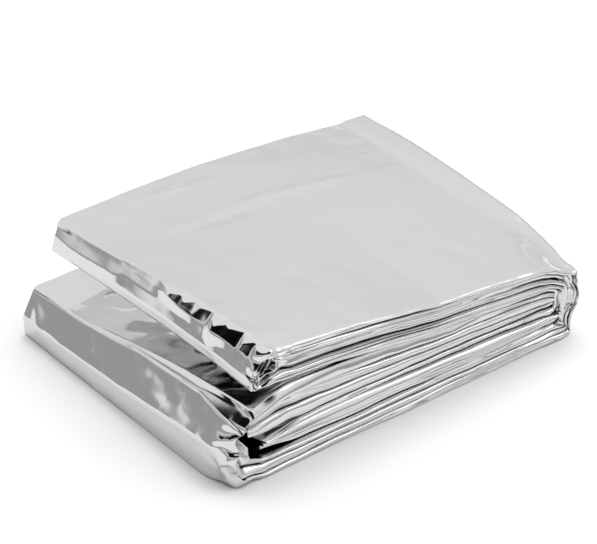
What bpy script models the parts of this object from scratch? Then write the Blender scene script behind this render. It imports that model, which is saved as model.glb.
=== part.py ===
"""Folded emergency foil blanket, one thin sheet.

The sheet is first pleated back and forth across its width, which makes a strip four layers thick.
The strip is then folded over itself along its length, so the packet is two leaves that stay shut
at the right end and spring open at the left end.
Metres, +Z up. X runs along the strip, Y across it, and the packet lies on Z = 0.
"""

from collections import namedtuple
from math import cos, pi, sin

import bmesh
import bpy

MM = 0.001

# Driving dimensions, in millimetres until the mesh is made.
LENGTH = 130.0
WIDTH = 100.0
SHEET = 1.0
LAYERS = 4
LEFT_END = 10.0
FLAP_END = 110.0
CROWN = 2.0
PLEAT_DEPTH = 1.6
LAYER_GAP = 0.25
FOIL_GREY = (0.78, 0.78, 0.79, 1.0)
FOIL_ROUGHNESS = 0.16

# The strip lies in five levels. The thickness of each is given at the left end, the middle and
# the right end of the packet, along its front and along its back.
Thickness = namedtuple("Thickness", "left middle right")
LOWER_LEAF = (Thickness(7.6, 6.9, 4.9), Thickness(4.8, 5.3, 6.1))
UPPER_LEAF = (Thickness(5.75, 5.25, 4.8), Thickness(4.2, 4.9, 6.1))
LEVELS = {
    "bottom": LOWER_LEAF,
    "inner": LOWER_LEAF,
    "flap": LOWER_LEAF,
    "second": UPPER_LEAF,
    "top": UPPER_LEAF,
}

# The leaves part between the flap and the second level: by how much at the left end, the X at
# which they meet, and how full the curve between is, along the front and along the back.
Parting = namedtuple("Parting", "height shut_at fullness")
PARTINGS = (Parting(5.0, 75.0, 1.2), Parting(11.1, 119.0, 2.2))
PARTED_ABOVE = "flap"

# The packet passes from its front height to its back height between these two Y.
FRONT_PART = 5.0
BACK_PART = 88.0

# Y of the strip's two front pleats on each level, at its left, middle and right. The first pleat
# joins the strip's layers one and two, and the second joins layers three and four.
Pleat = namedtuple("Pleat", "left middle right")
FRONT_PLEATS = {
    "flap": (Pleat(2.2, 1.2, 2.4), Pleat(1.0, 2.2, 1.2)),
    "bottom": (Pleat(1.8, 0.6, 1.0), Pleat(0.8, 0.0, 0.2)),
    "top": (Pleat(2.2, 1.6, 1.4), Pleat(0.8, 0.6, 0.6)),
    "second": (Pleat(2.0, 2.4, 1.4), Pleat(0.8, 1.4, 2.4)),
    "inner": (Pleat(2.6, 1.2, 2.6), Pleat(1.0, 0.5, 1.6)),
}
# Y of the back edges: layer one's free edge, the pleat of layers two and three, and layer four's.
BACK_EDGES = (98.8, 99.4, 100.0)

# The strip's turns: the levels that one joins, the end of the packet it is at, the X of the wall
# outside it, how many turns it lies within, the room inside it along X, how square it is, how far
# its front and back edges are drawn in at the wall, and how far the wall itself is cut back at the
# front corner.
Turn = namedtuple("Turn", "upper lower side wall within bore squareness front_draw back_draw corner_cut")
TURNS = {
    "lower_left": Turn("flap", "bottom", -1, 0.0, 0, 0.8, 6.0, 3.0, 0.6, 6.0),
    "outer_right": Turn("top", "bottom", 1, LENGTH, 0, 3.4, 4.0, 0.8, 0.6, 0.3),
    "upper_left": Turn("top", "second", -1, 9.6, 0, 0.4, 4.2, 2.0, 3.0, 1.6),
    "inner_right": Turn("second", "inner", 1, LENGTH, 1, 0.5, 3.2, 2.6, 2.0, 0.3),
}
CORNER_REACH = 15.0
NEST_GAP = 0.4

# How finely the loft is cut: steps along a level, round a turn, across a layer and round a pleat.
RUN_STEPS = 7
TURN_STEPS = 8
ACROSS_STEPS = 4
PLEAT_STEPS = 4


def blend(a, b, share):
    return a + (b - a) * share


def clamped(share):
    return min(1.0, max(0.0, share))


def smoothed(share):
    return share * share * (3 - 2 * share)


def through(values, share):
    """The parabola through a left, a middle and a right value."""
    left, mid, right = values
    ends = left * (1 - share) * (1 - 2 * share) + right * share * (2 * share - 1)
    return ends + mid * 4 * share * (1 - share)


def share_along(x):
    return (x - LEFT_END) / (LENGTH - LEFT_END)


def backness(y):
    return smoothed(clamped((y - FRONT_PART) / (BACK_PART - FRONT_PART)))


def thickness(level, x, y):
    front, back = (through(edge, share_along(x)) for edge in LEVELS[level])
    return blend(front, back, backness(y))


def parting(x, y):
    """How far the leaves stand apart at X, Y."""
    heights = []
    for edge in PARTINGS:
        share = clamped((x - LEFT_END) / (edge.shut_at - LEFT_END))
        heights.append(edge.height * (1 - share**edge.fullness))
    return blend(*heights, backness(y))


def under(level, x, y):
    """The height of a level's underside, above the levels that it lies on."""
    height = 0.0
    for name in LEVELS:
        if name == level:
            break
        height += thickness(name, x, y) + LAYER_GAP
        if name == PARTED_ABOVE:
            height += parting(x, y)
    return height


def middle(level, x, y):
    return under(level, x, y) + thickness(level, x, y) / 2


def puffed(x, y, z):
    """The height after the packet swells a little, in proportion to the height itself."""
    swell = CROWN * sin(pi * clamped(y / WIDTH)) * (1 - 0.45 * clamped(share_along(x)))
    return z * (1 + swell / (under("top", x, y) + thickness("top", x, y)))


def pleat_ends(level, x):
    """Y of a level's two front pleats at X."""
    return tuple(through(pleat, clamped(x / LENGTH)) for pleat in FRONT_PLEATS[level])


def wall_thickness(turn, y):
    return blend(thickness(turn.upper, turn.wall, y), thickness(turn.lower, turn.wall, y), 0.5)


def turn_centre(turn, y):
    """The X about which the strip turns. It follows the wall in at the front corner."""
    near_corner = clamped(1 - y / CORNER_REACH) ** 2
    thick = wall_thickness(turn, y)
    inset = turn.corner_cut * near_corner + turn.within * (thick + NEST_GAP)
    return turn.wall - turn.side * (inset + turn.bore + thick)


def squared(value, squareness):
    """A sine or cosine made squarer, so that a turn has a flat wall and rounded corners."""
    size = abs(value) ** (2 / squareness)
    return size if value > 0 else -size


# One section of the strip. place(y, offset) gives X and Z at Y, offset from the strip's middle
# towards the side of layer four, and pitch(y) gives the spacing of its layers.
Section = namedtuple("Section", "place pitch fronts back_draw")


def run_section(level, start, end, share, facing):
    """A section where the strip lies on one level, part of the way from one X to another."""

    def x_at(y):
        return blend(start(y), end(y), share)

    def place(y, offset):
        x = x_at(y)
        return x, middle(level, x, y) + facing * offset

    def pitch(y):
        return (thickness(level, x_at(y), y) - SHEET) / (LAYERS - 1)

    return Section(place, pitch, pleat_ends(level, x_at(WIDTH / 2)), 0.0)


def turn_section(turn, angle, facing):
    """A section part of the way round a turn. The angle is 0 on the upper level, pi on the lower."""
    share = angle / pi

    def place(y, offset):
        centre = turn_centre(turn, y)
        upper, lower = middle(turn.upper, centre, y), middle(turn.lower, centre, y)
        away = facing * offset
        reach = turn.bore + wall_thickness(turn, y) / 2
        x = centre + turn.side * (reach + away) * squared(sin(angle), turn.squareness)
        z = (upper + lower) / 2 + ((upper - lower) / 2 + away) * squared(cos(angle), turn.squareness)
        return x, z

    def pitch(y):
        x = turn_centre(turn, y)
        thick = blend(thickness(turn.upper, x, y), thickness(turn.lower, x, y), share)
        return (blend(thick, wall_thickness(turn, y), sin(angle)) - SHEET) / (LAYERS - 1)

    x = turn_centre(turn, WIDTH / 2)
    drawn = sin(angle)
    pairs = zip(pleat_ends(turn.upper, x), pleat_ends(turn.lower, x))
    fronts = tuple(blend(a, b, share) + turn.front_draw * drawn for a, b in pairs)
    return Section(place, pitch, fronts, turn.back_draw * drawn)


def strip_sections():
    """Every section of the strip in order, from the flap's end to the inner end."""
    centre = {name: (lambda y, turn=turn: turn_centre(turn, y)) for name, turn in TURNS.items()}
    route = [
        ("flap", lambda y: FLAP_END, centre["lower_left"], 1, "lower_left"),
        ("bottom", centre["lower_left"], centre["outer_right"], -1, "outer_right"),
        ("top", centre["outer_right"], centre["upper_left"], 1, "upper_left"),
        ("second", centre["upper_left"], centre["inner_right"], -1, "inner_right"),
        ("inner", centre["inner_right"], lambda y: centre["lower_left"](y) + NEST_GAP, 1, None),
    ]
    sections = []
    for level, start, end, facing, turn_name in route:
        count = RUN_STEPS if turn_name else RUN_STEPS + 1
        sections += [run_section(level, start, end, i / RUN_STEPS, facing) for i in range(count)]
        if turn_name:
            turn = TURNS[turn_name]
            angles = [pi * i / TURN_STEPS for i in range(TURN_STEPS)]
            if turn.upper == level:
                sections += [turn_section(turn, angle, facing) for angle in angles]
            else:
                sections += [turn_section(turn, pi - angle, -facing) for angle in angles]
    return sections


def layer_points(section, layer, side):
    """One layer of a section on one side of the sheet, from its back edge to its front pleat."""
    front = section.fronts[layer // 2] + PLEAT_DEPTH
    back = BACK_EDGES[(layer + 1) // 2] - section.back_draw
    if layer in (1, LAYERS - 2):
        back -= PLEAT_DEPTH
    outside = -1 if layer % 2 == 0 else 1
    points = []
    for i in range(ACROSS_STEPS + 1):
        y = blend(back, front, i / ACROSS_STEPS)
        offset = (layer - (LAYERS - 1) / 2) * section.pitch(y) + side * outside * SHEET / 2
        points.append((y, offset))
    return points if layer % 2 == 0 else points[::-1]


def pleat_points(section, layer, side):
    """The pleat between a layer and the next one, without its two ends."""
    at_front = layer % 2 == 0
    edge = section.fronts[layer // 2] if at_front else BACK_EDGES[1] - section.back_draw
    inwards = 1 if at_front else -1
    thicker = side * SHEET / 2 if at_front else -side * SHEET / 2
    centre_y = edge + inwards * PLEAT_DEPTH
    depth = PLEAT_DEPTH - SHEET / 2 + thicker
    pitch = section.pitch(centre_y)
    centre_offset = (layer + 0.5 - (LAYERS - 1) / 2) * pitch
    points = []
    for i in range(1, PLEAT_STEPS):
        angle = pi * i / PLEAT_STEPS
        y = centre_y - inwards * depth * sin(angle)
        points.append((y, centre_offset - (pitch / 2 + thicker) * cos(angle)))
    return points


def sheet_points(section, side):
    """The whole width of the sheet on one of its sides, pleated back and forth."""
    across = []
    for layer in range(LAYERS):
        across += layer_points(section, layer, side)
        if layer < LAYERS - 1:
            across += pleat_points(section, layer, side)
    points = []
    for y, offset in across:
        x, z = section.place(y, offset)
        points.append(((x - LENGTH / 2) * MM, (y - WIDTH / 2) * MM, puffed(x, y, z) * MM))
    return points


def foil_material():
    material = bpy.data.materials.new("foil")
    material.use_nodes = True
    shader = material.node_tree.nodes["Principled BSDF"]
    shader.inputs["Base Color"].default_value = FOIL_GREY
    shader.inputs["Metallic"].default_value = 1.0
    shader.inputs["Roughness"].default_value = FOIL_ROUGHNESS
    return material


def loft(name, sections):
    """One closed solid through the sections: two sides of the sheet, its edges and its two ends."""
    solid = bmesh.new()
    rings = [[[solid.verts.new(p) for p in sheet_points(s, side)] for side in (1, -1)] for s in sections]
    for (one_a, other_a), (one_b, other_b) in zip(rings, rings[1:]):
        for i in range(len(one_a) - 1):
            solid.faces.new((one_a[i], one_a[i + 1], one_b[i + 1], one_b[i]))
            solid.faces.new((other_a[i + 1], other_a[i], other_b[i], other_b[i + 1]))
        for edge in (0, -1):
            solid.faces.new((one_a[edge], one_b[edge], other_b[edge], other_a[edge]))
    for one, other in (rings[0], rings[-1]):
        for i in range(len(one) - 1):
            solid.faces.new((one[i], other[i], other[i + 1], one[i + 1]))
    bmesh.ops.recalc_face_normals(solid, faces=solid.faces)
    mesh = bpy.data.meshes.new(name)
    solid.to_mesh(mesh)
    solid.free()
    return mesh


for leftover in list(bpy.data.objects):
    bpy.data.objects.remove(leftover)

collection = bpy.data.collections.new("folded_foil_blanket")
bpy.context.scene.collection.children.link(collection)
blanket = bpy.data.objects.new("blanket", loft("blanket", strip_sections()))
blanket.data.materials.append(foil_material())
blanket.data.shade_smooth()
collection.objects.link(blanket)
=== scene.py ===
"""Looks of the folded emergency foil blanket: one thin film of bright metallised plastic.

The film follows the folds of the CAD solid: pleated across its width into a strip, and the strip
folded over itself into two leaves. Then creases and crumples are pressed into it. Lengths
are in millimetres until the mesh is made. X runs along the packet, Y across it and Z up, from the
packet's lower front left corner.
"""

from collections import namedtuple

import bpy
import numpy as np
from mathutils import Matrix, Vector


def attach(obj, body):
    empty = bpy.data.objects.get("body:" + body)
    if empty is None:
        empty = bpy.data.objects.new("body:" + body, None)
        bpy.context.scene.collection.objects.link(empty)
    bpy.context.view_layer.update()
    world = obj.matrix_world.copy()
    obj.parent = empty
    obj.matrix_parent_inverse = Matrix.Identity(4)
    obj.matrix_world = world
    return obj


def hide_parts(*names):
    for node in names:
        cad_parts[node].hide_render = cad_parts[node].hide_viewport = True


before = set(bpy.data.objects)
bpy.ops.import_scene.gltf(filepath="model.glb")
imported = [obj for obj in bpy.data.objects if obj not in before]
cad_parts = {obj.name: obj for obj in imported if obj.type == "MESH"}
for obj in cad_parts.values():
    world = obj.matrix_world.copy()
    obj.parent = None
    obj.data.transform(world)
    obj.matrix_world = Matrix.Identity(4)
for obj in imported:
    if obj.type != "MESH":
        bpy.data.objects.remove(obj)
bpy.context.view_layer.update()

MM = 0.001

# The packet, as the CAD solid has it.
LENGTH = 130.0
WIDTH = 100.0
LEFT_END = 10.0
FLAP_END = 121.0
LEVEL_GAP = 0.25
NEST_GAP = 0.4

# The packet changes from its front shape to its back shape between these values of Y.
FRONT_PART = 5.0
BACK_PART = 88.0

# The middle of the top is higher by this much, and by a smaller share of it towards the right.
CROWN = 2.0
CROWN_LOSS = 0.45

# The thickness of each level along the packet's front edge and along its back edge.
Thickness = namedtuple("Thickness", "left middle right")
LOWER_BACK = Thickness(4.8, 5.3, 6.1)
UPPER_LEAF = (Thickness(5.75, 5.25, 4.8), Thickness(4.2, 4.9, 6.1))
LEVELS = {
    "bottom": (Thickness(5.6, 6.6, 4.9), LOWER_BACK),
    "inner": (Thickness(7.6, 6.9, 4.9), LOWER_BACK),
    "flap": (Thickness(9.6, 7.2, 4.9), LOWER_BACK),
    "second": UPPER_LEAF,
    "top": UPPER_LEAF,
}

# The parting between the leaves at the front and at the back: its height at the left end, the X where
# it is shut, and how full its arch is.
Parting = namedtuple("Parting", "height shut_at fullness")
PARTINGS = (Parting(5.0, 75.0, 1.2), Parting(11.1, 119.0, 2.2))
PARTED_ABOVE = "flap"

# At the front the flap's pleats swell to fill a share of the parting. The share rises from one X to
# the other and fades over a reach from the front edge.
FILL_FROM = 6.0
FILL_TO = 24.0
FILL_SHARE = 0.85
FILL_REACH = 16.0

# The film's layers lie in pairs, and each pair is one pleat. Y of each level's front pleats at its
# left, middle and right, from the pleat of layers one and two on, and Y of the back edges.
PLEATS = 3
LAYERS = 2 * PLEATS
Pleat = namedtuple("Pleat", "left middle right")
FRONT_PLEATS = {
    "flap": (Pleat(2.2, 1.0, 2.6), Pleat(1.2, 1.8, 1.6), Pleat(0.6, 2.0, 1.2)),
    "bottom": (Pleat(1.8, 0.8, 1.0), Pleat(1.2, 0.2, 0.8), Pleat(0.8, 0.0, 0.2)),
    "top": (Pleat(2.2, 1.4, 2.0), Pleat(0.9, 1.3, 3.4), Pleat(0.8, 0.5, 0.4)),
    "second": (Pleat(2.0, 2.2, 1.4), Pleat(0.8, 1.0, 1.9), Pleat(1.4, 1.6, 2.4)),
    "inner": (Pleat(2.6, 1.2, 2.2), Pleat(1.6, 0.4, 1.4), Pleat(1.0, 0.9, 1.8)),
}
BACK_EDGES = (98.4, 98.9, 99.4, 100.0)

# The strip's turns. A turn may lie within another one, has a bore, and is drawn in at its front and
# back. Its front corner is cut back by one length on its upper level and another on its lower one.
Turn = namedtuple("Turn", "upper lower side wall within bore front_draw back_draw cut_above cut_below")
TURNS = {
    "lower_left": Turn("flap", "bottom", -1, 0.0, 0, 0.8, 1.2, 0.6, 0.4, 6.0),
    "outer_right": Turn("top", "bottom", 1, LENGTH, 0, 1.6, 0.5, 0.6, 0.3, 2.5),
    "upper_left": Turn("top", "second", -1, 9.6, 0, 0.4, 1.0, 3.0, 0.6, 0.6),
    "inner_right": Turn("second", "inner", 1, LENGTH, 1, 0.3, 0.2, 2.0, -2.4, -2.0),
}
# The cut fades over a reach from the front edge, and the strip is drawn together over another.
CUT_REACH = 12.0
CUT_FADE_POWER = 1.4
CUT_CHANGE_POWER = 3
PINCH_REACH = 9.0

# The shape of each turn at places across the packet. Its corners run from the upper level round to
# the lower one, as shares of the turn's reach outwards and of its half height. Every shape starts and
# ends with the same two corners, where it meets the levels.
Profile = namedtuple("Profile", "y corners")
UPPER_END = (0, 1)
LOWER_END = (0, -1)
PROFILES = {
    "lower_left": (
        Profile(0, ((0.1, 0.97), (0.5, 0.62), (0.58, 0.64), (1.0, 0.08), (0.9, -0.9))),
        Profile(4, ((0.03, 1.0), (0.42, 0.67), (0.5, 0.74), (1.0, 0.08), (0.92, -0.9))),
        Profile(10, ((0.08, 1.0), (0.4, 0.73), (0.47, 0.8), (1.0, 0.1), (0.95, -0.93))),
        Profile(20, ((0.2, 0.98), (0.28, 0.93), (0.32, 0.94), (1.0, 0.03), (0.96, -0.95))),
        Profile(33, ((0.16, 0.99), (0.22, 0.94), (0.27, 0.93), (1.0, -0.05), (0.97, -0.95))),
        Profile(50, ((0.04, 1.0), (0.1, 0.97), (0.16, 0.93), (1.0, -0.13), (0.97, -0.95))),
        Profile(92, ((0.07, 1.0), (0.13, 0.97), (0.2, 0.92), (1.0, -0.15), (0.97, -0.95))),
        Profile(100, ((0.12, 1.0), (0.22, 0.96), (0.3, 0.9), (1.0, -0.1), (0.97, -0.95))),
    ),
    "upper_left": (
        Profile(0.0, ((0.05, 0.96), (0.68, 0.26), (0.9, -0.1), (1.0, -0.3), (0.95, -0.9))),
        Profile(3.8, ((0.56, 0.64), (0.74, 0.36), (0.9, -0.1), (1.0, -0.3), (0.95, -0.9))),
        Profile(6.4, ((0.1, 1.0), (0.61, 0.38), (0.84, 0.04), (1.0, -0.3), (0.95, -0.9))),
        Profile(10.2, ((0.5, 0.66), (0.66, 0.46), (0.82, 0.06), (1.0, -0.3), (0.95, -0.9))),
        Profile(12.0, ((0.0, 1.0), (0.62, 0.4), (0.8, 0.08), (1.0, -0.3), (0.95, -0.9))),
        Profile(17.4, ((0.34, 0.84), (0.69, 0.47), (0.82, 0.04), (1.0, -0.3), (0.95, -0.9))),
        Profile(18.6, ((0.2, 0.98), (0.7, 0.48), (0.86, 0.0), (1.0, -0.3), (0.95, -0.9))),
        Profile(21.8, ((0.64, 0.7), (0.76, 0.54), (0.95, -0.2), (1.0, -0.3), (0.95, -0.9))),
        Profile(23.6, ((0.44, 0.94), (0.7, 0.6), (0.88, -0.08), (1.0, -0.3), (0.95, -0.9))),
        Profile(25.2, ((0.06, 1.0), (0.6, 0.36), (0.84, 0.0), (1.0, -0.3), (0.95, -0.9))),
        Profile(30.9, ((0.26, 0.86), (0.66, 0.49), (0.8, 0.08), (1.0, -0.3), (0.95, -0.9))),
        Profile(32.2, ((0.0, 1.0), (0.66, 0.5), (0.78, 0.12), (1.0, -0.3), (0.95, -0.9))),
        Profile(36.6, ((0.48, 0.75), (0.68, 0.58), (0.77, 0.16), (1.0, -0.3), (0.95, -0.9))),
        Profile(38.4, ((0.2, 1.0), (0.66, 0.63), (0.76, 0.2), (1.0, -0.3), (0.95, -0.9))),
        Profile(42.0, ((0.58, 0.9), (0.68, 0.82), (0.74, 0.3), (1.0, -0.3), (0.95, -0.9))),
        Profile(46.0, ((0.3, 1.0), (0.52, 0.78), (0.72, 0.34), (1.0, -0.3), (0.95, -0.9))),
        Profile(50.0, ((0.06, 1.0), (0.4, 0.7), (0.7, 0.38), (1.0, -0.3), (0.95, -0.9))),
        Profile(64.0, ((0.2, 1.0), (0.42, 0.74), (0.66, 0.42), (1.0, -0.3), (0.95, -0.9))),
        Profile(66.5, ((0.3, 1.0), (0.48, 0.72), (0.86, 0.2), (1.0, -0.3), (0.95, -0.9))),
        Profile(88.0, ((0.3, 0.98), (0.48, 0.72), (0.92, 0.15), (1.0, -0.35), (0.95, -0.9))),
        Profile(99.0, ((0.42, 1.0), (0.62, 0.9), (0.88, 0.4), (1.0, -0.3), (0.97, -0.9))),
    ),
    "outer_right": (
        Profile(0, ((0.7, 0.98), (1.0, 0.7), (0.98, -0.15), (0.7, -0.97))),
        Profile(12, ((0.85, 0.98), (0.97, 0.84), (1.0, -0.6), (0.85, -0.97))),
    ),
    "inner_right": (Profile(0, ((0.75, 0.98), (1.0, 0.75), (1.0, -0.75), (0.75, -0.98))),),
}

# At the front edge the strip is drawn together, to these shares of its thickness at the corners.
BUNDLES = {
    "lower_left": (1.0, 0.85, 0.45, 0.22, 0.95, 1.0, 1.0),
    "outer_right": (1.0, 0.8, 0.5, 0.45, 0.7, 1.0),
    "upper_left": (1.0, 0.8, 0.5, 0.35, 0.3, 0.6, 1.0),
    "inner_right": (1.0, 1.0, 1.0, 1.0, 1.0, 1.0),
}

# How far the inner end of the strip stays back from the lower left turn. At the front it narrows to
# a share of its thickness over a length.
INNER_END_BACK = 0.5
INNER_END_SHARE = 0.3
INNER_END_TAPER = 14.0

# How finely the film is cut. A run's or the skin's table gives the size of a step at places along it,
# and a turn's gives the count of sections between one corner of its shape and the next.
RUN_STEPS = {
    "top": ((0, 0.6), (42, 0.6), (60, 1.3), (105, 1.2), (130, 0.8)),
    "flap": ((0, 0.8), (40, 1.0), (60, 1.6), (130, 2.4)),
    "bottom": ((0, 1.2), (30, 1.9), (110, 1.9), (130, 1.2)),
    "second": ((0, 1.0), (30, 1.5), (130, 1.9)),
    "inner": ((0, 1.6), (40, 2.2), (130, 2.2)),
}
TURN_COUNTS = {
    "lower_left": (6, 5, 4, 13, 11, 6),
    "outer_right": (6, 4, 14, 10, 6),
    "upper_left": (5, 7, 5, 6, 5, 4),
    "inner_right": (3, 3, 4, 3, 3),
}
SKIN_STEPS = ((0, 0.6), (30, 0.7), (45, 1.4), (88, 1.5), (100, 0.9))

# The columns of a hidden layer, as shares of its width, and how many the turns between layers have.
HIDDEN_SHARES = (0.0, 0.06, 0.3, 0.7, 0.94, 1.0)
FRONT_TURN_COUNT = 13
BACK_TURN_COUNT = 9

# A pleat's nose, and the parting between two pleats as a share of the strip's thickness.
NOSE_DEPTH = 2.2
NOSE_ROUNDNESS = 0.36
BACK_NOSE_DEPTH = 1.6
PLEAT_PARTING = 0.03
BACK_PARTING = 0.05

# How far the measures of a nose wander along the strip, over steps of three lengths. The random
# heights repeat after so many steps.
Wander = namedtuple("Wander", "step front height tilt roundness groove notch")
NOSE_WANDER = (
    Wander(55.0, 0.8, 0.09, 0.95, 0.25, 0.6, 0.35),
    Wander(17.0, 0.15, 0.01, 0.4, 0.1, 0.5, 0.3),
    Wander(4.0, 0.04, 0.003, 0.1, 0.03, 0.15, 0.05),
)
WANDER_HEIGHTS = 997
NOSE_SEED = 20
SEEDS_PER_STEP = 100
SEEDS_PER_PLEAT = 10

# A groove runs along each nose, deeper and shallower, at a wandering angle round it.
GROOVE_WIDTH = 0.55
GROOVE_DEPTH = 0.1

# The film's finish. Fine wrinkles run along the strip.
FOIL_COLOUR = (0.68, 0.68, 0.685, 1.0)
FOIL_ROUGHNESS = 0.09
Wrinkle = namedtuple("Wrinkle", "along across depth")
WRINKLES = (Wrinkle(40.0, 1.2, 0.012), Wrinkle(60.0, 14.0, 0.12))
WRINKLE_DETAIL = 2.0

# The camera, solved from the packet's corners in the photograph. Angles are in degrees, places and
# the distance in metres, and the lens in millimetres.
CAMERA_AZIMUTH = -38.21
CAMERA_ELEVATION = 32.29
CAMERA_DISTANCE = 0.7268
CAMERA_TARGET = (0.0005, 0.0025, 0.02)
CAMERA_LENS = 150

TINY = 1e-9


def blend(a, b, share):
    return a + (b - a) * share


def clamped(share):
    return np.clip(share, 0.0, 1.0)


def smoothed(share):
    share = clamped(share)
    return share * share * (3 - 2 * share)


def wandering(seed, step):
    """A smooth random function of one number, between -1 and 1, with a hill or dip at each step."""
    heights = np.random.default_rng(seed).uniform(-1, 1, WANDER_HEIGHTS)

    def at(value):
        place = np.asarray(value) / step
        before = np.floor(place).astype(int)
        start, end = heights[before % WANDER_HEIGHTS], heights[(before + 1) % WANDER_HEIGHTS]
        return blend(start, end, smoothed(place - before))

    return at


def crumpling(seed, cell):
    """A random shift for each point of space.

    It changes evenly within the tetrahedra of a turned grid of cells, so that it makes facets.
    """
    random = np.random.default_rng(seed)
    shifts = random.uniform(-1, 1, (CRUMPLE_GRID, CRUMPLE_GRID, CRUMPLE_GRID, 3))
    turned = np.linalg.qr(random.normal(size=(3, 3)))[0]

    def at(points):
        place = points @ turned / cell + CRUMPLE_START
        corner = np.floor(place).astype(int)
        part = place - corner
        order = np.argsort(-part, axis=-1)
        steps = np.take_along_axis(part, order, axis=-1)
        weights = -np.diff(steps, axis=-1, prepend=1.0, append=0.0)
        total = 0.0
        for number in range(4):
            if number:
                corner = corner + np.eye(3, dtype=int)[order[..., number - 1]]
            shift = shifts[tuple(np.moveaxis(corner % CRUMPLE_GRID, -1, 0))]
            total = total + shift * weights[..., number, None]
        return total

    return at


def through(values, share):
    """The parabola through a left, a middle and a right value."""
    left, mid, right = values
    ends = left * (1 - share) * (1 - 2 * share) + right * share * (2 * share - 1)
    return ends + mid * 4 * share * (1 - share)


def share_along(x):
    return (x - LEFT_END) / (LENGTH - LEFT_END)


def backness(y):
    return smoothed((y - FRONT_PART) / (BACK_PART - FRONT_PART))


def thickness(level, x, y):
    front, back = (through(edge, share_along(x)) for edge in LEVELS[level])
    full = blend(front, back, backness(y))
    return full + parting(x, y) * fill(x, y) if level == PARTED_ABOVE else full


def fill(x, y):
    """The share of the parting that the flap fills."""
    along = smoothed((x - FILL_FROM) / (FILL_TO - FILL_FROM))
    return FILL_SHARE * along * smoothed(1 - y / FILL_REACH)


def parting(x, y):
    """How far the leaves of the CAD solid stand apart at X, Y."""
    heights = []
    for edge in PARTINGS:
        share = clamped((x - LEFT_END) / (edge.shut_at - LEFT_END))
        heights.append(edge.height * (1 - share**edge.fullness))
    return blend(*heights, backness(y))


def under(level, x, y):
    """The height of a level's underside, above the levels that it lies on."""
    height = 0.0
    for name in LEVELS:
        if name == level:
            break
        height = height + thickness(name, x, y) + LEVEL_GAP
        if name == PARTED_ABOVE:
            height = height + parting(x, y) * (1 - fill(x, y))
    return height


def middle(level, x, y):
    return under(level, x, y) + thickness(level, x, y) / 2


def puffed(x, y, z):
    """The height after the packet swells a little, in proportion to the height itself."""
    swell = CROWN * np.sin(np.pi * clamped(y / WIDTH)) * (1 - CROWN_LOSS * clamped(share_along(x)))
    return z * (1 + swell / (under("top", x, y) + thickness("top", x, y)))


def pleat_ends(level, x):
    return [through(pleat, clamped(x / LENGTH)) for pleat in FRONT_PLEATS[level]]


def wall_thickness(turn, y):
    return blend(thickness(turn.upper, turn.wall, y), thickness(turn.lower, turn.wall, y), 0.5)


def turn_centre(turn, y, share):
    """The X about which the strip turns, from share 0 on the upper level to 1 on the lower one."""
    near_corner = clamped(1 - y / CUT_REACH) ** CUT_FADE_POWER
    thick = wall_thickness(turn, y)
    cut = blend(turn.cut_above, turn.cut_below, share**CUT_CHANGE_POWER)
    inset = cut * near_corner + turn.within * (thick + NEST_GAP)
    return turn.wall - turn.side * (inset + turn.bore + thick)


def profile_at(name, place, y):
    """How far out and up a turn's shape lies at a place: a corner's number and a share of the next."""
    stops = [profile.y for profile in PROFILES[name]]
    shapes = [(UPPER_END, *profile.corners, LOWER_END) for profile in PROFILES[name]]
    corner = min(int(place), len(TURN_COUNTS[name]) - 1)

    def measure(number, axis):
        return np.interp(y, stops, [shape[number][axis] for shape in shapes])

    return [blend(measure(corner, axis), measure(corner + 1, axis), place - corner) for axis in (0, 1)]


# One section of the strip. place(y, height) gives X and Z at Y and at a share of the strip's
# thickness, from -0.5 to 0.5 on the side of the outermost layer.
Section = namedtuple("Section", "part place fronts back_draw")


def run_section(level, x_at, facing):
    """A section where the strip lies on one level, at the X that x_at gives for each Y."""

    def place(y, height):
        x = x_at(y)
        thick = thickness(level, x, y)
        if level == "inner":
            narrow = smoothed((x - inner_end(y)) / INNER_END_TAPER)
            thick = thick * blend(blend(INNER_END_SHARE, 1.0, narrow), 1.0, smoothed(y / PINCH_REACH))
        return x, middle(level, x, y) + facing * height * thick

    return Section(level, place, pleat_ends(level, x_at(WIDTH / 2)), 0.0)


def turn_section(name, place_on, facing):
    """A section at a place on a turn's shape."""
    turn = TURNS[name]
    share = place_on / len(TURN_COUNTS[name])
    drawn = np.sin(np.pi * share)

    def place(y, height):
        centre = turn_centre(turn, y, share)
        upper, lower = middle(turn.upper, centre, y), middle(turn.lower, centre, y)
        beside = blend(thickness(turn.upper, centre, y), thickness(turn.lower, centre, y), share)
        thick = blend(beside, wall_thickness(turn, y), drawn)
        bundled = np.interp(place_on, range(len(BUNDLES[name])), BUNDLES[name])
        bundle = blend(1.0, bundled, smoothed(1 - y / PINCH_REACH))
        away = facing * thick * (0.5 - (0.5 - height) * bundle)
        reach = turn.bore + wall_thickness(turn, y) / 2
        out, up = profile_at(name, place_on, y)
        x = centre + turn.side * (reach + away) * out
        z = (upper + lower) / 2 + ((upper - lower) / 2 + away) * up
        return x, z

    x = turn_centre(turn, WIDTH / 2, share)
    pairs = zip(pleat_ends(turn.upper, x), pleat_ends(turn.lower, x))
    fronts = [blend(a, b, share) + turn.front_draw * drawn for a, b in pairs]
    return Section(name, place, fronts, turn.back_draw * drawn)


def steps_between(start, end, table):
    """Shares from 0 to 1 of the way from start to end, in steps of the sizes that the table gives."""
    places, sizes = zip(*table)
    direction = 1 if end > start else -1
    stops = [start]
    while (end - stops[-1]) * direction > 0:
        stops.append(stops[-1] + direction * np.interp(stops[-1], places, sizes))
    stops = np.array(stops)
    return (stops - start) / (stops[-1] - start)


def places_on(name):
    """The places of a turn's sections, evenly between one corner of its shape and the next."""
    return np.concatenate([k + np.arange(count) / count for k, count in enumerate(TURN_COUNTS[name])])


def inner_end(y):
    return turn_centre(TURNS["lower_left"], y, 1.0) + INNER_END_BACK


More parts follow.
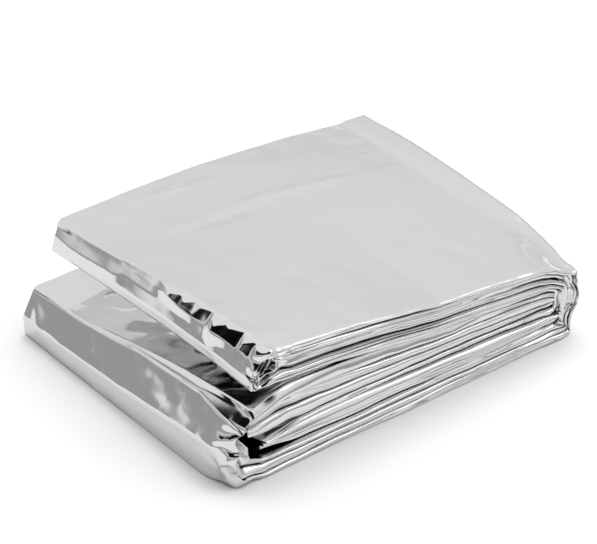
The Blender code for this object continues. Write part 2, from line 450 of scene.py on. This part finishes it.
# One run of the strip on a level: where it starts and ends for each Y, the way its outer side faces
# (1 is up) and the turn that follows it.
Run = namedtuple("Run", "level start end facing turn")


def strip_runs():
    above = {name: (lambda y, turn=turn: turn_centre(turn, y, 0.0)) for name, turn in TURNS.items()}
    below = {name: (lambda y, turn=turn: turn_centre(turn, y, 1.0)) for name, turn in TURNS.items()}
    return [
        Run("flap", lambda y: FLAP_END, above["lower_left"], 1, "lower_left"),
        Run("bottom", below["lower_left"], below["outer_right"], -1, "outer_right"),
        Run("top", above["outer_right"], above["upper_left"], 1, "upper_left"),
        Run("second", below["upper_left"], above["inner_right"], -1, "inner_right"),
        Run("inner", below["inner_right"], inner_end, 1, None),
    ]


def strip_sections():
    """Every section of the strip in order, from the flap's end to the inner end."""
    sections = []
    for run in strip_runs():
        shares = steps_between(run.start(WIDTH / 2), run.end(WIDTH / 2), RUN_STEPS[run.level])
        for share in shares[:-1] if run.turn else shares:

            def x_at(y, run=run, share=share):
                return blend(run.start(y), run.end(y), share)

            sections.append(run_section(run.level, x_at, run.facing))
        if not run.turn:
            continue
        for place_on in places_on(run.turn):
            # A turn that starts on its lower level is laid from its last corner to its first.
            if TURNS[run.turn].upper == run.level:
                sections.append(turn_section(run.turn, place_on, run.facing))
            else:
                place_back = len(TURN_COUNTS[run.turn]) - place_on
                sections.append(turn_section(run.turn, place_back, -run.facing))
    return sections


def distances_along(sections):
    """How far along the strip each section lies, measured on its middle line."""
    line = np.array([section.place(WIDTH / 2, 0.0) for section in sections])
    return np.concatenate([[0], np.cumsum(np.hypot(*np.diff(line, axis=0).T))])


# One column of the film's mesh. A layer's column is a share of the way from its back edge to its
# front pleat, and a pleat's column is an angle round it.
Column = namedtuple("Column", "layer share angle")


def film_columns():
    """The columns across the whole width of the film, from layer one's free edge to the outer skin."""
    skin = 1 - steps_between(0.0, WIDTH, SKIN_STEPS)[::-1]
    columns = []
    for layer in range(LAYERS):
        shares = np.array(HIDDEN_SHARES) if layer < LAYERS - 1 else skin
        shares = shares if layer % 2 == 0 else shares[::-1]
        columns += [Column(layer, share, None) for share in shares]
        if layer < LAYERS - 1:
            count = FRONT_TURN_COUNT if layer % 2 == 0 else BACK_TURN_COUNT
            angles = np.linspace(0, np.pi, count + 2)[1:-1]
            columns += [Column(layer, None, angle) for angle in angles]
    return columns


def wander_of(along, pleat, kind):
    """How far one measure of a pleat's nose wanders at a place along the strip."""
    total = 0.0
    for k, wander in enumerate(NOSE_WANDER):
        seed = NOSE_SEED + SEEDS_PER_STEP * k + SEEDS_PER_PLEAT * pleat + Wander._fields.index(kind)
        total = total + getattr(wander, kind) * wandering(seed, wander.step)(along)
    return total


def pleat_heights(along):
    """The lower and upper layer of each pleat, as shares of the strip's thickness from its middle."""
    step = 1.0 / PLEATS
    limits = [-0.5]
    for pleat in range(1, PLEATS):
        limits.append(-0.5 + step * pleat + wander_of(along, pleat, "height"))
    limits.append(0.5)
    gap = PLEAT_PARTING / 2
    lows = [limit + (gap if k else 0.0) for k, limit in enumerate(limits[:-1])]
    highs = [limit - (gap if k < PLEATS else 0.0) for k, limit in enumerate(limits[1:], 1)]
    return list(zip(lows, highs))


def back_heights(along):
    """Each layer's height at the back, where the layers are joined in the other pairs."""
    step = 1.0 / (PLEATS - 1)
    limits = [-0.5]
    for fold in range(1, PLEATS - 1):
        limits.append(-0.5 + step * fold + wander_of(along, PLEATS + fold, "height"))
    limits.append(0.5)
    heights = [-0.5]
    for low, high in zip(limits, limits[1:]):
        heights += [low + BACK_PARTING / 2, high - BACK_PARTING / 2]
    return heights + [0.5]


def lay_columns(section, along, columns):
    """Y and height offset of each column at one section."""
    ys = np.empty(len(columns))
    heights = np.empty(len(columns))
    levels = pleat_heights(along)
    fronts = [front + wander_of(along, k, "front") for k, front in enumerate(section.fronts)]
    tilts = [wander_of(along, k, "tilt") for k in range(PLEATS)]
    roundness = [NOSE_ROUNDNESS + wander_of(along, k, "roundness") for k in range(PLEATS)]
    grooves = [np.pi / 2 + wander_of(along, k, "groove") for k in range(PLEATS)]
    notches = [clamped(GROOVE_DEPTH + wander_of(along, k, "notch")) for k in range(PLEATS)]
    backs = [edge - section.back_draw for edge in BACK_EDGES]
    backs = [edge + wander_of(along, PLEATS + k, "front") for k, edge in enumerate(backs)]
    back_levels = back_heights(along)
    for i, column in enumerate(columns):
        layer, pleat = column.layer, column.layer // 2
        if column.angle is None:
            lean = tilts[pleat] if layer % 2 == 0 else -tilts[pleat]
            front = fronts[pleat] + NOSE_DEPTH + lean
            back = backs[(layer + 1) // 2] - (0 if layer in (0, LAYERS - 1) else BACK_NOSE_DEPTH)
            ys[i] = blend(back, front, column.share)
            heights[i] = blend(back_levels[layer], levels[pleat][layer % 2], column.share)
        elif layer % 2 == 0:
            low, high = levels[pleat]
            deep = NOSE_DEPTH * (1 - np.sin(column.angle) ** roundness[pleat])
            deep += notches[pleat] * clamped(1 - abs(column.angle - grooves[pleat]) / GROOVE_WIDTH)
            ys[i] = fronts[pleat] + deep + tilts[pleat] * np.cos(column.angle)
            heights[i] = (low + high) / 2 - (high - low) / 2 * np.cos(column.angle)
        else:
            low, high = back_levels[layer], back_levels[layer + 1]
            ys[i] = backs[pleat + 1] - BACK_NOSE_DEPTH * (1 - np.sin(column.angle) ** NOSE_ROUNDNESS)
            heights[i] = (low + high) / 2 - (high - low) / 2 * np.cos(column.angle)
    return ys, heights


# Where the outer skin is creased. Places are millimetres down from the edge where a wall starts
# (less than 0 is on the face above it) and Y. A crease runs from a to b and rises (or sinks) most at
# its peak, a share of the way along; its two slopes are far and near, away from the camera and
# towards it.
Crease = namedtuple("Crease", "down_a y_a down_b y_b rise peak far near")
CREASES = {
    "upper_left": (
        # The small dent where the edge turns from dented to plain.
        Crease(-2.6, 67.5, 1.0, 66.5, -0.15, 0.5, 0.9, 0.9),
        # Long faint creases over the top.
        Crease(-28.0, 74.5, -108.0, 66.0, 0.4, 0.4, 3.5, 2.5),
        Crease(-10.0, 69.0, -60.0, 66.0, -0.35, 0.5, 2.5, 3.5),
        Crease(-11.0, 95.0, -60.0, 88.0, 0.3, 0.5, 2.5, 2.5),
    ),
    "lower_left": (
        # The facets at the back corner.
        Crease(2.0, 98, 11.0, 88, 0.5, 0.5, 5.0, 3.0),
        Crease(3.5, 84, 10.5, 79, 0.3, 0.5, 3.5, 1.6),
    ),
}


def crease_height(crease, down, y):
    """How far a crease lifts the film at points of the skin."""
    run = np.array([crease.down_b - crease.down_a, crease.y_b - crease.y_a])
    length = np.hypot(*run)
    run = run / length
    from_a = np.stack([down - crease.down_a, y - crease.y_a], axis=-1)
    share = from_a @ run / length
    side = from_a @ np.array([-run[1], run[0]])
    swell = clamped(np.minimum(share / crease.peak, (1 - share) / (1 - crease.peak)))
    reach = np.where(side > 0, crease.far, crease.near) * swell
    return crease.rise * swell * clamped(1 - np.abs(side) / np.maximum(reach, TINY))


# In the layers beneath the skin, a crease starts at this Y and is full after this length.
HIDDEN_FROM = 3.0
HIDDEN_FADE = 4.0

# Where the whole packet is pushed out of line: the push fades smoothly to nothing at its reach.
Push = namedtuple("Push", "at reach by")
PUSHES = (Push((130, 0, 27), (17, 30, 20), (0, 0, -4.5)),)

# The crumples' grid of random shifts, in cells each way, and the cell where the packet starts in it.
CRUMPLE_GRID = 32
CRUMPLE_START = 100.0

# How strongly the packet is crumpled over cells of one size: at least so much, and more near places.
Crumple = namedtuple("Crumple", "at reach amount")
Crumples = namedtuple("Crumples", "cell seed least spots")
LARGE_CRUMPLES = (
    Crumple((14, 14, 36), (12, 34, 8), 0.5),
    Crumple((2, 4, 10), (16, 12, 18), 0.7),
    Crumple((27, 55, 18), (21, 75, 9), 1.7),
    Crumple((128, 2, 14), (14, 12, 24), 1.3),
    Crumple((132, 58, 12), (12, 70, 17), 1.4),
)
SMALL_CRUMPLES = (
    Crumple((14, 1, 35), (13, 8, 9), 1.5),
    Crumple((4, 1, 9), (14, 10, 17), 1.5),
    Crumple((125, 1, 12), (14, 8, 24), 1.1),
)
CRUMPLES = (Crumples(7.0, 5, 0.10, LARGE_CRUMPLES), Crumples(3.2, 6, 0.03, SMALL_CRUMPLES))


def nearness(points, at, reach):
    return clamped(1 - np.linalg.norm((points - np.array(at)) / np.array(reach), axis=-1))


def pushed(points):
    for push in PUSHES:
        near = smoothed(nearness(points, push.at, push.reach))
        points = points + near[..., None] * np.array(push.by)
    return points


def crumpled(points):
    for crumples in CRUMPLES:
        amount = np.full(points.shape[:-1], crumples.least)
        for spot in crumples.spots:
            amount = amount + spot.amount * smoothed(nearness(points, spot.at, spot.reach))
        points = points + crumpling(crumples.seed, crumples.cell)(points) * amount[..., None]
    return points


def outward(points):
    """The normal at each point of the grid, on the outer side of the skin."""
    along, across = np.gradient(points, axis=0), np.gradient(points, axis=1)
    normal = np.cross(across, along)
    return normal / np.maximum(np.linalg.norm(normal, axis=-1, keepdims=True), TINY)


def pressed_share(columns, y):
    """How far a press on the skin reaches each point, with a sign for the side that its layer faces.

    It dies away round the tip of the skin's front pleat and through the layers beneath.
    """
    shares = np.zeros(y.shape)
    for i, column in enumerate(columns):
        below = LAYERS - 1 - column.layer
        if below == 0:
            shares[:, i] = 1.0
        elif column.angle is None:
            depth = (1 - below / LAYERS) * smoothed((y[:, i] - HIDDEN_FROM) / HIDDEN_FADE)
            shares[:, i] = depth * (-1) ** below
        elif below == 1:
            shares[:, i] = smoothed(-np.cos(column.angle))
    return shares


def film_points():
    """The film's grid of points, one row for each section, and how far along each section lies."""
    sections = strip_sections()
    columns = film_columns()
    along = distances_along(sections)
    rows = []
    for section, place in zip(sections, along):
        ys, heights = lay_columns(section, place, columns)
        x, z = section.place(ys, heights)
        rows.append(np.stack([x, ys, puffed(x, ys, z)], axis=-1))
    points = np.array(rows)
    parts = np.array([section.part for section in sections])
    lift = np.zeros(points.shape[:-1])
    for wall, creases in CREASES.items():
        down = np.broadcast_to((along - along[parts == wall][0])[:, None], lift.shape)
        for crease in creases:
            lift = lift + crease_height(crease, down, points[..., 1])
    lift = lift * pressed_share(columns, points[..., 1])
    points = points + outward(points) * lift[..., None]
    points = crumpled(pushed(points))
    points[..., 2] = np.maximum(points[..., 2], 0.0)
    return points, along


def film_mesh(points, along):
    """A mesh of quads over the grid of points, in metres in the part's own frame."""
    centre = np.array([LENGTH / 2, WIDTH / 2, 0.0])
    rows, count = points.shape[:2]
    index = np.arange(rows * count).reshape(rows, count)
    quads = np.stack([index[:-1, :-1], index[:-1, 1:], index[1:, 1:], index[1:, :-1]], axis=-1)
    mesh = bpy.data.meshes.new("foil_film")
    mesh.from_pydata(((points - centre) * MM).reshape(-1, 3), [], quads.reshape(-1, 4))
    widths = np.hypot(*np.diff(points[rows // 2, :, 1:], axis=0).T)
    across = np.concatenate([[0], np.cumsum(widths)])
    place = np.stack(np.broadcast_arrays(along[:, None], across), axis=-1).reshape(-1, 2)
    film_uv = mesh.uv_layers.new(name="film")
    film_uv.data.foreach_set("uv", (place[quads.reshape(-1)] * MM).ravel())
    mesh.shade_smooth()
    return mesh


def foil_material():
    material = bpy.data.materials.new("foil")
    material.use_nodes = True
    nodes, links = material.node_tree.nodes, material.node_tree.links
    shader = nodes["Principled BSDF"]
    shader.inputs["Base Color"].default_value = FOIL_COLOUR
    shader.inputs["Metallic"].default_value = 1.0
    shader.inputs["Roughness"].default_value = FOIL_ROUGHNESS
    film = nodes.new("ShaderNodeUVMap")
    film.uv_map = "film"
    normal = None
    for grain in WRINKLES:
        stretch = nodes.new("ShaderNodeMapping")
        stretch.inputs["Scale"].default_value = (1 / (grain.along * MM), 1 / (grain.across * MM), 1.0)
        links.new(film.outputs["UV"], stretch.inputs["Vector"])
        noise = nodes.new("ShaderNodeTexNoise")
        noise.inputs["Scale"].default_value = 1.0
        noise.inputs["Detail"].default_value = WRINKLE_DETAIL
        links.new(stretch.outputs["Vector"], noise.inputs["Vector"])
        press = nodes.new("ShaderNodeBump")
        press.inputs["Strength"].default_value = 1.0
        press.inputs["Distance"].default_value = grain.depth * MM
        links.new(noise.outputs["Fac"], press.inputs["Height"])
        if normal:
            links.new(normal, press.inputs["Normal"])
        normal = press.outputs["Normal"]
    links.new(normal, shader.inputs["Normal"])
    return material


# The floor: its size in metres, and its paint.
FLOOR_SIZE = 30
FLOOR_COLOUR = (0.9, 0.9, 0.9, 1.0)
FLOOR_ROUGHNESS = 0.9
FLOOR_SPECULAR = 0.1


def add_floor():
    bpy.ops.mesh.primitive_plane_add(size=FLOOR_SIZE)
    floor = bpy.context.object
    floor.name = "studio_floor"
    material = bpy.data.materials.new("floor_paint")
    material.use_nodes = True
    shader = material.node_tree.nodes["Principled BSDF"]
    shader.inputs["Base Color"].default_value = FLOOR_COLOUR
    shader.inputs["Roughness"].default_value = FLOOR_ROUGHNESS
    shader.inputs["Specular IOR Level"].default_value = FLOOR_SPECULAR
    floor.data.materials.append(material)


# The studio, as the film reflects it: the sky's light by height (0 at the horizon, 1 overhead), the
# dark sides behind the camera and beside it, and soft panels. Angles are in degrees, and an azimuth
# is 0 in front of the packet and 90 at its right.
SKY = ((0.0, 0.40), (0.2, 0.46), (0.34, 0.9), (0.53, 0.98), (0.8, 1.05), (1.0, 1.0))
Panel = namedtuple("Panel", "azimuth elevation half_width half_height softness light")
DARK_SIDES = (
    Panel(-52, 52, 66, 27, 6, 0.99),
    Panel(-126, 36, 16, 14, 6, 0.99),
)
PANELS = (
    Panel(80, 54, 45, 11, 6, 1.4),
    Panel(128, 7, 36, 9, 6, 0.42),
)

# The lamp overhead, in metres and watts.
KEY_SIZE = 1.6
KEY_HEIGHT = 1.8
KEY_POWER = 19.0


def add_world():
    world = bpy.data.worlds.new("studio")
    bpy.context.scene.world = world
    world.use_nodes = True
    nodes, links = world.node_tree.nodes, world.node_tree.links
    background = nodes["Background"]
    coordinates = nodes.new("ShaderNodeTexCoord")
    split = nodes.new("ShaderNodeSeparateXYZ")
    links.new(coordinates.outputs["Generated"], split.inputs[0])
    flat = nodes.new("ShaderNodeVectorMath")
    flat.operation = "MULTIPLY"
    flat.inputs[1].default_value = (1, 1, 0)
    links.new(coordinates.outputs["Generated"], flat.inputs[0])
    heading = nodes.new("ShaderNodeVectorMath")
    heading.operation = "NORMALIZE"
    links.new(flat.outputs[0], heading.inputs[0])

    def math(operation, a, b):
        node = nodes.new("ShaderNodeMath")
        node.operation = operation
        for socket, value in zip(node.inputs, (a, b)):
            if isinstance(value, float):
                socket.default_value = value
            else:
                links.new(value, socket)
        return node.outputs[0]

    def rising(value, start, end):
        node = nodes.new("ShaderNodeMapRange")
        node.interpolation_type = "SMOOTHSTEP"
        node.inputs["From Min"].default_value = start
        node.inputs["From Max"].default_value = end
        links.new(value, node.inputs["Value"])
        return node.outputs["Result"]

    def panel_light(panel):
        azimuth = np.radians(panel.azimuth)
        facing = nodes.new("ShaderNodeVectorMath")
        facing.operation = "DOT_PRODUCT"
        facing.inputs[1].default_value = (np.sin(azimuth), -np.cos(azimuth), 0.0)
        links.new(heading.outputs[0], facing.inputs[0])
        wide, soft = panel.half_width, panel.softness
        across = rising(facing.outputs["Value"], *np.cos(np.radians([wide + soft, wide - soft])))
        bottom, top = panel.elevation - panel.half_height, panel.elevation + panel.half_height
        low = rising(split.outputs["Z"], *np.sin(np.radians([bottom - soft / 2, bottom + soft / 2])))
        high = rising(split.outputs["Z"], *np.sin(np.radians([top + soft / 2, top - soft / 2])))
        shape = math("MULTIPLY", across, math("MULTIPLY", low, high))
        return math("MULTIPLY", shape, float(panel.light))

    sky = nodes.new("ShaderNodeValToRGB")
    elements = sky.color_ramp.elements
    while len(elements) < len(SKY):
        elements.new(1.0)
    for element, (height, light) in zip(elements, SKY):
        element.position = height
        element.color = (light, light, light, 1.0)
    links.new(split.outputs["Z"], sky.inputs["Fac"])
    light = sky.outputs["Color"]
    for side in DARK_SIDES:
        light = math("MULTIPLY", light, math("SUBTRACT", 1.0, panel_light(side)))
    for panel in PANELS:
        light = math("ADD", light, panel_light(panel))
    links.new(light, background.inputs["Color"])


def add_key_light():
    """A large soft panel overhead that lights the floor and is left out of the film's reflections."""
    key = bpy.data.objects.new("key_light", bpy.data.lights.new("key_light", "AREA"))
    key.data.size = KEY_SIZE
    key.data.energy = KEY_POWER
    key.location = (0.0, 0.0, KEY_HEIGHT)
    key.visible_glossy = False
    bpy.context.scene.collection.objects.link(key)


def add_camera():
    azimuth, elevation = np.radians(CAMERA_AZIMUTH), np.radians(CAMERA_ELEVATION)
    away = Vector(
        (
            np.sin(azimuth) * np.cos(elevation),
            -np.cos(azimuth) * np.cos(elevation),
            np.sin(elevation),
        )
    )
    camera = bpy.data.objects.new("camera", bpy.data.cameras.new("camera"))
    camera.data.lens = CAMERA_LENS
    camera.location = Vector(CAMERA_TARGET) + away * CAMERA_DISTANCE
    camera.rotation_euler = away.to_track_quat("Z", "Y").to_euler()
    bpy.context.scene.collection.objects.link(camera)
    bpy.context.scene.camera = camera


bpy.context.scene.view_settings.view_transform = "Standard"
add_camera()
add_world()
add_key_light()
add_floor()

points, along = film_points()
film = bpy.data.objects.new("foil_film", film_mesh(points, along))
film.data.materials.append(foil_material())
bpy.context.scene.collection.objects.link(film)
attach(film, "root")
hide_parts("blanket")
